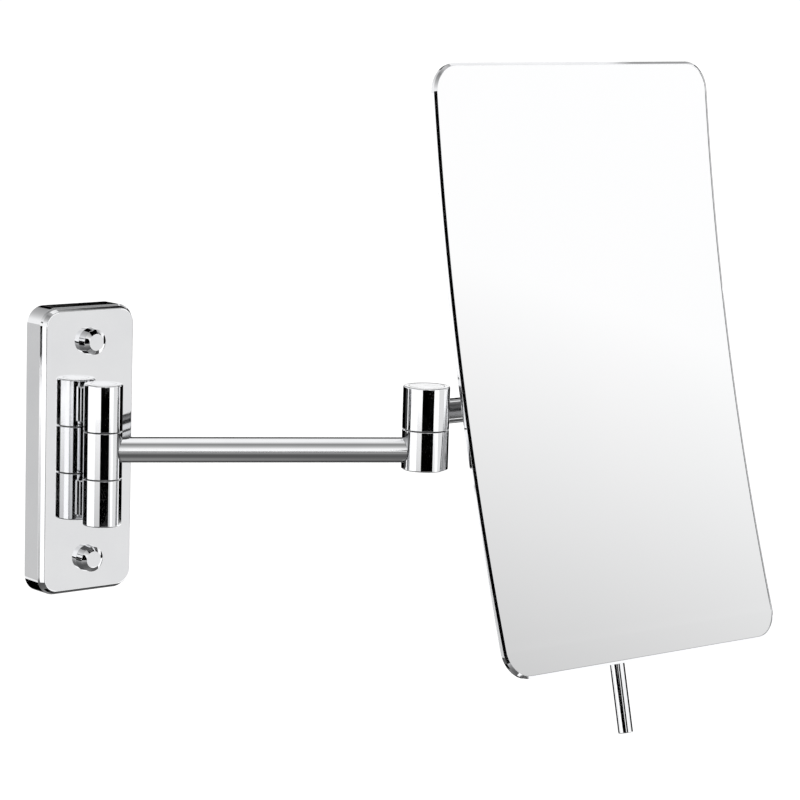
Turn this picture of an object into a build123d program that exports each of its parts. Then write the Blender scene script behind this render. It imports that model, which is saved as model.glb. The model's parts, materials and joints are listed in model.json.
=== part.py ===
from build123d import *
from math import asin, degrees, sin, sqrt
import os

# Extendable shaving mirror, wall mounted. Millimetres.
# +Z is up, +X runs along the wall to the right, and the wall is the plane Y = 0 with the
# object standing out of it towards -Y. The origin is the middle of the wall plate's back.
# "Depth" below is the distance out of the wall, so a depth of 10 is Y = -10.

# Wall plate
PLATE_W = 38.0
PLATE_H = 100.0
PLATE_T = 10.5
PLATE_CORNER_R = 6.5
PLATE_FACET = 0.55
PLATE_RISE = 1.8
PLATE_RISE_SLOPE = 20.0
SHELL_T = 1.4
CORE_GAP = 0.1

# Wall screws and the caps that hide their heads
SCREW_PITCH = 76.0
SCREW_HOLE_R = 2.4
SCREW_SHANK_R = 1.9
SCREW_THREAD_R = 2.1
SCREW_THREAD_L = 24.0
SCREW_TIP_L = 5.0
SCREW_TIP_R = 0.3
SCREW_HEAD_R = 3.3
SCREW_HEAD_H = 1.3
CUP_R = 3.9
CUP_T = 0.7
CAP_R = 4.7
CAP_H = 4.0
CAP_WALL = 0.6
CAP_EDGE = 1.5

# Wall hinge: three knuckles on one upright pin
HINGE_OUT = 8.5
KNUCKLE_R = 6.75
KNUCKLE_H = 16.4
HINGE_MID_Z = -0.3
SPLIT = 0.3
NECK_BLOCK_W = 7.0
NECK_BLOCK_H = 12.4
PIN_R = 2.5
PIN_FIXED_CLEARANCE = 0.03
PIN_RUNNING_CLEARANCE = 0.05
BUSH_WALL = 1.35
END_CAP_R = 4.4
END_CAP_T = 1.2
WASHER_T = 0.96
WASHER_POCKET = 0.68
HINGE_WASHER_R = 5.3
KNUCKLE_SCREW_R = 2.0
KNUCKLE_SCREW_HEAD_R = 3.6
KNUCKLE_SCREW_HEAD_H = 2.4
KNUCKLE_SCREW_SEAT = 4.5
KNUCKLE_SCREW_END = 15.9

# Arm
ARM_L = 112.5
ARM_SWING = 59.7
TUBE_R = 4.4
TUBE_WALL = 1.0
TUBE_Z = 1.3
SPIGOT_L = 20.0

# Elbow: two stacked cylinders on one bolt
ELBOW_R = 8.2
ELBOW_LOW_Z = -5.5
ELBOW_SPLIT_Z = 8.75
ELBOW_TOP_Z = 24.0
BOLT_R = 3.0
BOLT_HEAD_R = 4.6
BOLT_HEAD_H = 3.6
BOLT_TOP_Z = 21.4
SOCKET_AF = 4.0
SOCKET_DEPTH = 2.2
PLUG_R = 6.3
PLUG_T = 1.2
ELBOW_WASHER_R = 6.8
CUP_FLOOR_Z = 17.0
SPRING_T = 0.5
SPRING_COUNT = 2
NUT_AF = 10.0
NUT_H = 3.0

# Neck, which is also the axle that the mirror tilts on
NECK_L = 75.2
NECK_Z = 14.3
NECK_SCREWED_R = 2.5
JOURNAL_R = 3.2
NECK_BUSH_R = 4.2
SIDE_WASHER_R = 5.2
SIDE_WASHER_T = 0.8
END_SCREW_R = 2.0
END_SCREW_L = 8.0
END_SCREW_HEAD_R = 3.9
END_SCREW_HEAD_H = 2.4
END_SOCKET_AF = 2.5
END_SOCKET_DEPTH = 1.2

# Mirror panel, bent about a level axis in front of it
MIRROR_W = 134.0
MIRROR_H = 217.4
MIRROR_CORNER_R = 10.5
BEND_R = 1000.0
TILT = 13.5
MIRROR_AHEAD = 11.5
MIRROR_RISE = 12.2
RIM_WALL = 0.7
RIM_LIP_W = 0.5
RIM_LIP_T = 0.2
RIM_DEPTH = 2.05
GLASS_T = 1.1
PAD_T = 0.4
PAD_INSET = 5.0
BACK_T = 0.5
LAYER_GAP = 0.02
FIT_GAP = 0.05

# Tilt bracket and handle
BRACKET_W = 24.0
BRACKET_H = 62.0
BRACKET_T = 3.2
BRACKET_CORNER_R = 5.0
RIB_W = 5.0
RIB_LOW_Z = -15.0
RIB_TOP_Z = 22.0
SLEEVE_R = 7.0
SLEEVE_HALF = 11.0
BOSS_R = 5.2
BOSS_END_Z = -16.0
RIVET_X = 7.5
RIVET_Z = 25.0
RIVET_R = 1.5
RIVET_HEAD_R = 2.7
RIVET_HEAD_H = 1.4
RIVET_ROUNDING = 0.8
CLAMP_BOSS_R = 4.0
CLAMP_BOSS_END = 9.2
CLAMP_SCREW_R = 2.0
CLAMP_SOCKET_AF = 2.0
BUSH_SLOT = 0.8
HANDLE_R = 2.7
HANDLE_END_Z = -122.7
HANDLE_SCREWED_R = 2.0
HANDLE_SCREWED_L = 8.0
COLLAR_R = 4.2
COLLAR_H = 3.0
HANDLE_EDGE = 0.3

# Worked out from the dimensions above
HINGE_DEPTH = PLATE_T + HINGE_OUT
HINGE_TOP_Z = HINGE_MID_Z + 1.5 * KNUCKLE_H
HUB_TOP_Z = HINGE_MID_Z + KNUCKLE_H / 2
HUB_LOW_Z = HINGE_MID_Z - KNUCKLE_H / 2
HINGE_LOW_Z = HINGE_MID_Z - 1.5 * KNUCKLE_H
TUBE_BORE_R = TUBE_R - TUBE_WALL
INNER_BUSH_R = PIN_R + BUSH_WALL
SCREW_ZS = (SCREW_PITCH / 2, -SCREW_PITCH / 2)
KNUCKLE_ZS = (HINGE_MID_Z + KNUCKLE_H, HINGE_MID_Z - KNUCKLE_H)
MIRROR_CHORD = 2 * BEND_R * sin(MIRROR_H / 2 / BEND_R)
PANEL_T = GLASS_T + PAD_T + BACK_T
PAST = 1.0

# Where each moving group stands at rest, from its own straight frame
ARM_PLACE = Pos(0, -HINGE_DEPTH, 0) * Rot(0, 0, ARM_SWING - 90)
ELBOW_AXIS = ARM_PLACE * Pos(ARM_L, 0, 0)
NECK_PLACE = Pos(*ELBOW_AXIS.position)
HEAD_PLACE = NECK_PLACE * Pos(NECK_L, 0, NECK_Z) * Rot(-TILT, 0, 0)
PANEL_PLACE = HEAD_PLACE * Pos(0, -MIRROR_AHEAD, MIRROR_RISE)


def slab(width, height, corner, back, front):
    """Plate with round corners, standing parallel to the wall between two depths."""
    outline = Plane.XZ.offset(back) * RectangleRounded(width, height, corner)
    return extrude(outline, front - back)


def stub(radius, back, front, x=0.0, z=0.0):
    """Round bar pointing out of the wall between two depths."""
    outline = Plane.XZ.offset(back) * Pos(x, z) * Circle(radius)
    return extrude(outline, front - back)


def post(radius, start, end):
    """Upright round bar on the local Z axis between two heights, in either order."""
    low, high = sorted((start, end))
    return Pos(0, 0, low) * Cylinder(radius, high - low, align=(Align.CENTER, Align.CENTER, Align.MIN))


def tube_up(outer, inner, low, high):
    """Upright ring on the local Z axis."""
    return post(outer, low, high) - post(inner, low - PAST, high + PAST)


def bar(radius, start, end, z=0.0):
    """Round bar along the local X axis."""
    lying = Cylinder(radius, end - start, align=(Align.CENTER, Align.CENTER, Align.MIN))
    return Pos(start, 0, z) * Rot(0, 90, 0) * lying


def tube_along(outer, inner, start, end, z=0.0):
    """Ring along the local X axis."""
    return bar(outer, start, end, z) - bar(inner, start - PAST, end + PAST, z)


def hexagon_post(across_flats, low, high):
    """Upright six-sided bar."""
    outline = Plane.XY.offset(low) * RegularPolygon(across_flats / 2, 6, major_radius=False)
    return extrude(outline, high - low)


def drilled(solid, radius, zs):
    """The solid with a hole straight through towards the wall at each height."""
    for z in zs:
        solid = solid - stub(radius, -PAST, PLATE_T + PAST, z=z)
    return solid


# ---------------------------------------------------------------- wall body


def wall_plate():
    """Pressed shell, open towards the wall, with a narrow facet round its sloping raised front."""
    step = PLATE_T - PLATE_RISE
    shell = slab(PLATE_W, PLATE_H, PLATE_CORNER_R, 0, step)
    shell = chamfer(shell.faces().sort_by(Axis.Y)[0].edges(), PLATE_FACET)
    raised = Plane.XZ.offset(step) * RectangleRounded(
        PLATE_W - 2 * PLATE_FACET, PLATE_H - 2 * PLATE_FACET, PLATE_CORNER_R - PLATE_FACET
    )
    shell = shell + extrude(raised, PLATE_RISE, taper=PLATE_RISE_SLOPE)
    inside = slab(
        PLATE_W - 2 * SHELL_T, PLATE_H - 2 * SHELL_T, PLATE_CORNER_R - SHELL_T, -PAST, PLATE_T - SHELL_T
    )
    shell = drilled(shell - inside, SCREW_HOLE_R, SCREW_ZS)
    return drilled(shell, KNUCKLE_SCREW_R + FIT_GAP, KNUCKLE_ZS)


def plate_core():
    """Cast block that fills the shell and lies against the wall."""
    inset = SHELL_T + CORE_GAP
    core = slab(PLATE_W - 2 * inset, PLATE_H - 2 * inset, PLATE_CORNER_R - inset, 0, PLATE_T - SHELL_T)
    core = drilled(core, SCREW_HOLE_R, SCREW_ZS)
    core = drilled(core, KNUCKLE_SCREW_R + FIT_GAP, KNUCKLE_ZS)
    for z in KNUCKLE_ZS:
        core = core - stub(KNUCKLE_SCREW_HEAD_R + CORE_GAP, -PAST, KNUCKLE_SCREW_SEAT, z=z)
    return core


def wall_screw(z):
    """Screw through the plate: head on its cup ring, plain neck, then the thread in the wall."""
    seat = PLATE_T + CUP_T
    head = stub(SCREW_HEAD_R, seat, seat + SCREW_HEAD_H, z=z)
    neck = stub(SCREW_SHANK_R, 0, seat, z=z)
    thread = stub(SCREW_THREAD_R, -SCREW_THREAD_L, 0, z=z)
    tip_plane = Plane((0, SCREW_THREAD_L, z), x_dir=(1, 0, 0), z_dir=(0, 1, 0))
    tip = tip_plane * Pos(0, 0, SCREW_TIP_L / 2) * Cone(SCREW_THREAD_R, SCREW_TIP_R, SCREW_TIP_L)
    return head + neck + thread + tip


def screw_cup_ring(z):
    """Flat ring under the screw's head that the cap snaps over."""
    return stub(CUP_R, PLATE_T, PLATE_T + CUP_T, z=z) - stub(SCREW_HOLE_R, 0, PLATE_T + CAP_H, z=z)


def screw_cap(z):
    """Hollow round cap over the screw's head."""
    cap = stub(CAP_R, PLATE_T, PLATE_T + CAP_H, z=z)
    cap = chamfer(cap.faces().sort_by(Axis.Y)[0].edges(), CAP_EDGE)
    return cap - stub(CAP_R - CAP_WALL, PLATE_T - PAST, PLATE_T + CAP_H - CAP_EDGE, z=z)


def end_knuckle(inner_z, outer_z, screw_z):
    """Fixed knuckle between the hub's end and the hinge's end, with the block that joins it to the plate."""
    outward = 1 if outer_z > inner_z else -1
    block = Pos(0, HINGE_OUT / 2, screw_z) * Box(NECK_BLOCK_W, HINGE_OUT, NECK_BLOCK_H)
    body = post(KNUCKLE_R, inner_z, outer_z) + block
    body = body - post(PIN_R + PIN_FIXED_CLEARANCE, inner_z - outward, outer_z + outward)
    cap_pocket = post(END_CAP_R + PIN_FIXED_CLEARANCE, outer_z - outward * END_CAP_T, outer_z + outward)
    washer_pocket = post(HINGE_WASHER_R + CORE_GAP, inner_z - outward, inner_z + outward * WASHER_POCKET)
    body = Pos(0, -HINGE_DEPTH, 0) * (body - cap_pocket - washer_pocket)
    return body - stub(KNUCKLE_SCREW_R + FIT_GAP, PLATE_T - PAST, KNUCKLE_SCREW_END + FIT_GAP, z=screw_z)


def knuckle_screw(z):
    """Screw from the back of the core into a fixed knuckle."""
    head = stub(KNUCKLE_SCREW_HEAD_R, KNUCKLE_SCREW_SEAT - KNUCKLE_SCREW_HEAD_H, KNUCKLE_SCREW_SEAT, z=z)
    return head + stub(KNUCKLE_SCREW_R, KNUCKLE_SCREW_SEAT, KNUCKLE_SCREW_END, z=z)


def hinge_pin():
    """Upright pin, stopping short of both end caps."""
    short = END_CAP_T + PIN_FIXED_CLEARANCE
    return Pos(0, -HINGE_DEPTH, 0) * post(PIN_R, HINGE_LOW_Z + short, HINGE_TOP_Z - short)


def hinge_end_cap(outer_z, outward):
    """Disc that closes a fixed knuckle."""
    return Pos(0, -HINGE_DEPTH, 0) * post(END_CAP_R, outer_z - outward * (END_CAP_T - LAYER_GAP), outer_z)


def hinge_washer(inner_z, outward):
    """Friction washer that stands out of a fixed knuckle's pocket towards the hub."""
    pocket_floor = inner_z + outward * WASHER_POCKET
    low, high = sorted((pocket_floor, pocket_floor - outward * WASHER_T))
    ring = tube_up(HINGE_WASHER_R, PIN_R + PIN_RUNNING_CLEARANCE, low, high)
    return Pos(0, -HINGE_DEPTH, 0) * ring


def wall_parts():
    """Everything that stays on the wall."""
    upper_inner_z = HUB_TOP_Z + SPLIT / 2
    lower_inner_z = HUB_LOW_Z - SPLIT / 2
    return {
        "wall_plate": [wall_plate()],
        "plate_core": [plate_core()],
        "wall_screws": [wall_screw(z) for z in SCREW_ZS],
        "screw_cup_rings": [screw_cup_ring(z) for z in SCREW_ZS],
        "screw_cover_caps": [screw_cap(z) for z in SCREW_ZS],
        "hinge_knuckle_upper": [end_knuckle(upper_inner_z, HINGE_TOP_Z, KNUCKLE_ZS[0])],
        "hinge_knuckle_lower": [end_knuckle(lower_inner_z, HINGE_LOW_Z, KNUCKLE_ZS[1])],
        "knuckle_screws": [knuckle_screw(z) for z in KNUCKLE_ZS],
        "hinge_pin": [hinge_pin()],
        "hinge_end_caps": [hinge_end_cap(HINGE_TOP_Z, 1), hinge_end_cap(HINGE_LOW_Z, -1)],
        "hinge_friction_washers": [hinge_washer(upper_inner_z, 1), hinge_washer(lower_inner_z, -1)],
    }


# ---------------------------------------------------------------- arm body


def arm_hub():
    """Middle knuckle with the spigot that the arm tube slides over."""
    hub = post(KNUCKLE_R, HUB_LOW_Z + SPLIT / 2, HUB_TOP_Z - SPLIT / 2)
    hub = hub + bar(TUBE_BORE_R - FIT_GAP, 0, SPIGOT_L, TUBE_Z)
    return hub - post(INNER_BUSH_R + PIN_FIXED_CLEARANCE, HUB_LOW_Z - PAST, HUB_TOP_Z + PAST)


def hub_bush():
    """Plain bearing that turns on the hinge pin."""
    return tube_up(INNER_BUSH_R, PIN_R + PIN_RUNNING_CLEARANCE, HUB_LOW_Z + SPLIT / 2, HUB_TOP_Z - SPLIT / 2)


def arm_tube():
    """Arm tube, its ends hollowed to sit against the hub and the elbow."""
    tube = tube_along(TUBE_R, TUBE_BORE_R, 0, ARM_L, TUBE_Z)
    tube = tube - post(KNUCKLE_R + FIT_GAP, HINGE_LOW_Z, HINGE_TOP_Z)
    return tube - Pos(ARM_L, 0, 0) * post(ELBOW_R + FIT_GAP, HINGE_LOW_Z, HINGE_TOP_Z)


def elbow_lower():
    """Lower elbow cylinder with its spigot into the arm tube, stepped for the bolt's head and a plug."""
    body = post(ELBOW_R, ELBOW_LOW_Z, ELBOW_SPLIT_Z - SPLIT / 2)
    body = body + bar(TUBE_BORE_R - FIT_GAP, -SPIGOT_L, 0, TUBE_Z)
    seat = ELBOW_LOW_Z + PLUG_T
    body = body - post(BOLT_R + FIT_GAP, ELBOW_LOW_Z, ELBOW_TOP_Z)
    body = body - post(BOLT_HEAD_R + FIT_GAP, seat - PAST, seat + BOLT_HEAD_H + FIT_GAP)
    body = body - post(PLUG_R + FIT_GAP, ELBOW_LOW_Z - PAST, seat)
    return body - post(ELBOW_WASHER_R + CORE_GAP, ELBOW_SPLIT_Z - SPLIT / 2 - WASHER_POCKET, ELBOW_TOP_Z)


def elbow_bolt():
    """Shoulder bolt up through both elbow cylinders, with a six-sided socket in its head."""
    low = ELBOW_LOW_Z + PLUG_T + FIT_GAP
    bolt = post(BOLT_HEAD_R, low, low + BOLT_HEAD_H) + post(BOLT_R, low, BOLT_TOP_Z)
    return bolt - hexagon_post(SOCKET_AF, low - PAST, low + SOCKET_DEPTH)


def elbow_plug():
    """Disc that closes the elbow from below."""
    return post(PLUG_R, ELBOW_LOW_Z, ELBOW_LOW_Z + PLUG_T)


def elbow_washer():
    """Friction washer between the two elbow cylinders."""
    low = ELBOW_SPLIT_Z - SPLIT / 2 - WASHER_POCKET
    return tube_up(ELBOW_WASHER_R, BOLT_R + FIT_GAP, low, low + WASHER_T)


def elbow_spring_washer(index):
    """One of the spring washers under the nut."""
    low = CUP_FLOOR_Z + FIT_GAP + index * SPRING_T
    return tube_up(NUT_AF / 2, BOLT_R + FIT_GAP, low, low + SPRING_T)


def elbow_nut():
    """Thin lock nut at the bolt's top."""
    low = CUP_FLOOR_Z + FIT_GAP + SPRING_COUNT * SPRING_T
    return hexagon_post(NUT_AF, low, low + NUT_H) - post(BOLT_R + LAYER_GAP, low - PAST, low + NUT_H + PAST)


def arm_parts():
    """Everything that swings on the wall hinge with the arm."""
    at_hinge = {
        "arm_hub": [arm_hub()],
        "hub_bush": [hub_bush()],
        "arm_tube": [arm_tube()],
    }
    at_elbow = {
        "elbow_lower": [elbow_lower()],
        "elbow_pivot_bolt": [elbow_bolt()],
        "elbow_bottom_plug": [elbow_plug()],
        "elbow_friction_washer": [elbow_washer()],
        "elbow_spring_washers": [elbow_spring_washer(index) for index in range(SPRING_COUNT)],
        "elbow_lock_nut": [elbow_nut()],
    }
    placed = {name: [ARM_PLACE * solid for solid in solids] for name, solids in at_hinge.items()}
    for name, solids in at_elbow.items():
        placed[name] = [ELBOW_AXIS * solid for solid in solids]
    return placed


# ---------------------------------------------------------------- neck body


def elbow_upper():
    """Upper elbow cylinder: bored for the bush below, hollow for the nut and the cap above."""
    body = post(ELBOW_R, ELBOW_SPLIT_Z + SPLIT / 2, ELBOW_TOP_Z)
    body = body - post(NECK_BUSH_R + PIN_FIXED_CLEARANCE, ELBOW_LOW_Z, ELBOW_TOP_Z)
    body = body - post(PLUG_R + FIT_GAP, CUP_FLOOR_Z, ELBOW_TOP_Z + PAST)
    return body - bar(NECK_SCREWED_R + FIT_GAP, 0, ELBOW_R + PAST, NECK_Z)


def elbow_bush():
    """Plain bearing of the upper elbow cylinder on the bolt."""
    low = ELBOW_SPLIT_Z + SPLIT / 2
    return tube_up(NECK_BUSH_R, BOLT_R + PIN_RUNNING_CLEARANCE, low, CUP_FLOOR_Z)


def elbow_cap():
    """Disc that closes the elbow from above."""
    return post(PLUG_R, ELBOW_TOP_Z - PLUG_T, ELBOW_TOP_Z)


def neck_rod():
    """Solid rod: screwed end, full part, then the thinner journal that the mirror tilts on."""
    shoulder = NECK_L - SLEEVE_HALF - SIDE_WASHER_T - FIT_GAP
    journal_end = NECK_L + SLEEVE_HALF + FIT_GAP
    rod = bar(TUBE_R, 0, shoulder, NECK_Z) - post(ELBOW_R + LAYER_GAP, ELBOW_LOW_Z, ELBOW_TOP_Z)
    rod = rod + bar(NECK_SCREWED_R, NECK_BUSH_R + FIT_GAP, ELBOW_R + PAST, NECK_Z)
    rod = rod + bar(JOURNAL_R, shoulder, journal_end, NECK_Z)
    return rod - bar(END_SCREW_R + FIT_GAP, journal_end - END_SCREW_L - FIT_GAP, journal_end + PAST, NECK_Z)


def neck_side_washer():
    """Washer between the neck's shoulder and the tilt bracket."""
    start = NECK_L - SLEEVE_HALF - SIDE_WASHER_T - FIT_GAP
    return tube_along(SIDE_WASHER_R, JOURNAL_R + FIT_GAP, start, start + SIDE_WASHER_T, NECK_Z)


def neck_end_washer():
    """Washer clamped on the neck's end, which keeps the tilt bracket on."""
    start = NECK_L + SLEEVE_HALF + FIT_GAP
    return tube_along(SIDE_WASHER_R, END_SCREW_R + FIT_GAP, start, start + SIDE_WASHER_T, NECK_Z)


def neck_end_screw():
    """Screw in the neck's end."""
    seat = NECK_L + SLEEVE_HALF + FIT_GAP + SIDE_WASHER_T
    head = bar(END_SCREW_HEAD_R, seat, seat + END_SCREW_HEAD_H, NECK_Z)
    shank = bar(END_SCREW_R, seat - SIDE_WASHER_T - END_SCREW_L, seat, NECK_Z)
    socket = Rot(0, 90, 0) * hexagon_post(END_SOCKET_AF, -END_SOCKET_DEPTH, PAST)
    drive = Pos(seat + END_SCREW_HEAD_H, 0, NECK_Z) * socket
    return head + shank - drive


def neck_parts():
    """Everything that turns on the elbow with the neck."""
    straight = {
        "elbow_upper": [elbow_upper()],
        "elbow_bush": [elbow_bush()],
        "elbow_top_cap": [elbow_cap()],
        "neck_rod": [neck_rod()],
        "neck_side_washer": [neck_side_washer()],
        "neck_end_washer": [neck_end_washer()],
        "neck_end_screw": [neck_end_screw()],
    }
    return {name: [NECK_PLACE * solid for solid in solids] for name, solids in straight.items()}


# ---------------------------------------------------------------- mirror head body
# The panel's own frame has its origin in the middle of the reflecting face, which looks along -Y.
# The head's frame has its origin on the tilt axis. Both stand upright here and are tilted when placed.


def ahead_of_middle(z):
    """How far the bent panel stands in front of its own middle at a height above that middle."""
    return BEND_R - sqrt(BEND_R**2 - z**2)


def bent_piece(near, far, width, height, corner, middle_z=0.0):
    """Piece of the bend between two depths behind the reflecting face, cut to a round-cornered outline."""
    bend_axis = Pos(0, -BEND_R, 0) * Rot(0, 90, 0)
    sheet = bend_axis * (Cylinder(BEND_R + far, width + PAST) - Cylinder(BEND_R + near, width + 2 * PAST))
    outline = Plane.XZ * Pos(0, middle_z) * RectangleRounded(width, height, corner)
    return sheet & extrude(outline, 2 * MIRROR_CORNER_R, both=True)


def panel_layer(near, far, inset):
    """Layer of the panel, inset from its outline."""
    return bent_piece(near, far, MIRROR_W - 2 * inset, MIRROR_CHORD - 2 * inset, MIRROR_CORNER_R - inset)


def rivet_places():
    """Frames on the reflecting face over the bracket rivets, each square to the bend."""
    zs = (-MIRROR_RISE - RIVET_Z, -MIRROR_RISE + RIVET_Z)
    return [
        Pos(x, -ahead_of_middle(z), z) * Rot(degrees(asin(z / BEND_R)), 0, 0)
        for x in (-RIVET_X, RIVET_X)
        for z in zs
    ]


def behind_face(radius, near, far):
    """Round bar between two depths behind the reflecting face."""
    return stub(radius, -far, -near)


def mirror_rim():
    """Thin metal edge that wraps the panel, with a narrow lip over the face."""
    band = panel_layer(-RIM_LIP_T, RIM_DEPTH, 0)
    inside = panel_layer(0, RIM_DEPTH + PAST, RIM_WALL)
    window = panel_layer(-PAST, PAST, RIM_WALL + RIM_LIP_W)
    return band - inside - window


def mirror_glass():
    """Bent sheet of silvered glass."""
    return panel_layer(LAYER_GAP, GLASS_T, RIM_WALL + FIT_GAP)


def adhesive_pad():
    """Foam pad between the glass and the back, cut away round the rivets' heads."""
    sheet = panel_layer(GLASS_T + LAYER_GAP, GLASS_T + PAD_T, PAD_INSET)
    for place in rivet_places():
        sheet = sheet - place * behind_face(RIVET_HEAD_R + PAST, 0, PANEL_T)
    return sheet


def mirror_back():
    """Sheet-metal back of the panel."""
    sheet = panel_layer(GLASS_T + PAD_T + LAYER_GAP, PANEL_T, RIM_WALL + FIT_GAP)
    for place in rivet_places():
        sheet = sheet - place * behind_face(RIVET_R + FIT_GAP, 0, PANEL_T + PAST)
    return sheet


def bracket_rivet():
    """Rivet through the back and the bracket, in its own frame: thin head inside, round head behind."""
    shank_end = PANEL_T + BRACKET_T + 2 * FIT_GAP
    inner = behind_face(RIVET_HEAD_R, GLASS_T + 2 * FIT_GAP, GLASS_T + PAD_T - FIT_GAP)
    shank = behind_face(RIVET_R, GLASS_T + PAD_T - 2 * FIT_GAP, shank_end)
    outer = behind_face(RIVET_HEAD_R, shank_end - FIT_GAP, shank_end + RIVET_HEAD_H)
    outer = fillet(outer.faces().sort_by(Axis.Y)[-1].edges(), RIVET_HEAD_H * RIVET_ROUNDING)
    return inner + shank + outer


def tilt_bracket():
    """Casting behind the panel: riveted foot, sleeve round the neck's journal, and a boss for the handle."""
    foot = bent_piece(
        PANEL_T + FIT_GAP, PANEL_T + BRACKET_T, BRACKET_W, BRACKET_H, BRACKET_CORNER_R, -MIRROR_RISE
    )
    for place in rivet_places():
        foot = foot - place * behind_face(RIVET_R + FIT_GAP, PANEL_T - PAST, PANEL_T + BRACKET_T + PAST)
    foot = Pos(0, -MIRROR_AHEAD, MIRROR_RISE) * foot
    foot_back = -MIRROR_AHEAD + PANEL_T + BRACKET_T
    rib = Pos(0, foot_back - PAST, RIB_LOW_Z) * Box(
        RIB_W, PAST - foot_back, RIB_TOP_Z - RIB_LOW_Z, align=(Align.CENTER, Align.MIN, Align.MIN)
    )
    body = foot + rib + bar(SLEEVE_R, -SLEEVE_HALF, SLEEVE_HALF) + post(BOSS_R, BOSS_END_Z, 0)
    body = body + stub(CLAMP_BOSS_R, -CLAMP_BOSS_END, 0)
    body = body - bar(NECK_BUSH_R + PIN_FIXED_CLEARANCE, -SLEEVE_HALF - PAST, SLEEVE_HALF + PAST)
    body = body - stub(CLAMP_SCREW_R + FIT_GAP, -CLAMP_BOSS_END - PAST, 0)
    return body - post(HANDLE_SCREWED_R + FIT_GAP, BOSS_END_Z - PAST, BOSS_END_Z + HANDLE_SCREWED_L + FIT_GAP)


def tilt_bush():
    """Split bush between the journal and the bracket's sleeve; the clamp screw squeezes it."""
    bush = tube_along(NECK_BUSH_R, JOURNAL_R + PIN_RUNNING_CLEARANCE, -SLEEVE_HALF, SLEEVE_HALF)
    return bush - Pos(0, 0, NECK_BUSH_R) * Box(2 * SLEEVE_HALF + PAST, BUSH_SLOT, 2 * BUSH_WALL + PAST)


def tilt_clamp_screw():
    """Headless screw in the sleeve's rear boss that sets how stiffly the mirror tilts."""
    screw = stub(CLAMP_SCREW_R, LAYER_GAP - CLAMP_BOSS_END, -NECK_BUSH_R - LAYER_GAP)
    upright_socket = hexagon_post(CLAMP_SOCKET_AF, -CLAMP_BOSS_END - PAST, SOCKET_DEPTH - CLAMP_BOSS_END)
    return screw - Rot(90, 0, 0) * upright_socket


def handle_rod():
    """Handle below the panel, screwed up into the bracket's boss."""
    full_top = BOSS_END_Z - COLLAR_H
    rod = post(HANDLE_R, HANDLE_END_Z, full_top)
    rod = chamfer(rod.faces().sort_by(Axis.Z)[0].edges(), HANDLE_EDGE)
    return rod + post(HANDLE_SCREWED_R, full_top - PAST, BOSS_END_Z + HANDLE_SCREWED_L)


def handle_collar():
    """Lock nut, round outside, between the handle's full part and the boss."""
    collar = post(COLLAR_R, BOSS_END_Z - COLLAR_H, BOSS_END_Z)
    return collar - post(HANDLE_SCREWED_R + FIT_GAP, BOSS_END_Z - COLLAR_H - PAST, BOSS_END_Z + PAST)


def head_parts():
    """Everything that tilts with the mirror."""
    on_panel = {
        "mirror_rim": [mirror_rim()],
        "mirror_glass": [mirror_glass()],
        "adhesive_pad": [adhesive_pad()],
        "mirror_back": [mirror_back()],
        "bracket_rivets": [place * bracket_rivet() for place in rivet_places()],
    }
    on_axis = {
        "tilt_bracket": [tilt_bracket()],
        "tilt_bush": [tilt_bush()],
        "tilt_clamp_screw": [tilt_clamp_screw()],
        "handle_rod": [handle_rod()],
        "handle_collar": [handle_collar()],
    }
    placed = {name: [PANEL_PLACE * solid for solid in solids] for name, solids in on_panel.items()}
    for name, solids in on_axis.items():
        placed[name] = [HEAD_PLACE * solid for solid in solids]
    return placed


os.makedirs("parts", exist_ok=True)
for name, solids in {**wall_parts(), **arm_parts(), **neck_parts(), **head_parts()}.items():
    shape = solids[0] if len(solids) == 1 else Compound(children=solids)
    export_step(shape, f"parts/{name}.step")
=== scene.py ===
import json
from math import asin, atan2, ceil, cos, pi, radians, sin, sqrt, tan

import bmesh
import bpy
from mathutils import Matrix, Vector


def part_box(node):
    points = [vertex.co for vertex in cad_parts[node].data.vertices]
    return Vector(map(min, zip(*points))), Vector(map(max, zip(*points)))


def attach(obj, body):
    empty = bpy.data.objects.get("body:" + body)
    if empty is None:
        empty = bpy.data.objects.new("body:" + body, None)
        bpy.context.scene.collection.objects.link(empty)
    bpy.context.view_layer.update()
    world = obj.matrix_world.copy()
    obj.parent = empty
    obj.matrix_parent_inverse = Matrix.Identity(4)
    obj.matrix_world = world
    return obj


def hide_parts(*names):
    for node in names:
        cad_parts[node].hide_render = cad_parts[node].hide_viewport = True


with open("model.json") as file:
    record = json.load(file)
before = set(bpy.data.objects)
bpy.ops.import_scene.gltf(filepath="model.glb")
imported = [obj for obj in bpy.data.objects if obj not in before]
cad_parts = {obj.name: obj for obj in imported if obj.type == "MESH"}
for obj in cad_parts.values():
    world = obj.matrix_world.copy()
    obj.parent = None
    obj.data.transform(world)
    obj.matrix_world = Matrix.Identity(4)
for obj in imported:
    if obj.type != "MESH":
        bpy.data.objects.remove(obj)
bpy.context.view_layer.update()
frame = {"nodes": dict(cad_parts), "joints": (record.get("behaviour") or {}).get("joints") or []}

# Looks of the extendable shaving mirror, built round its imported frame.
# Blender works in metres. Every outline below is drawn in millimetres in the frame of its own group,
# and MM brings it to size. +Z is up, the wall is Y = 0, and the mirror stands out of it towards -Y.

MM = 0.001
X, Y, Z = 0, 1, 2


def low(node, axis):
    """Lowest coordinate of a CAD node along one axis, in millimetres."""
    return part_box(node)[0][axis] / MM


def high(node, axis):
    """Highest coordinate of a CAD node along one axis, in millimetres."""
    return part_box(node)[1][axis] / MM


def span(node, axis):
    """Size of a CAD node along one axis, in millimetres."""
    return high(node, axis) - low(node, axis)


# ---------------------------------------------------------------- sizes
# Millimetres, taken from the frame where a node's box holds them.

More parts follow.
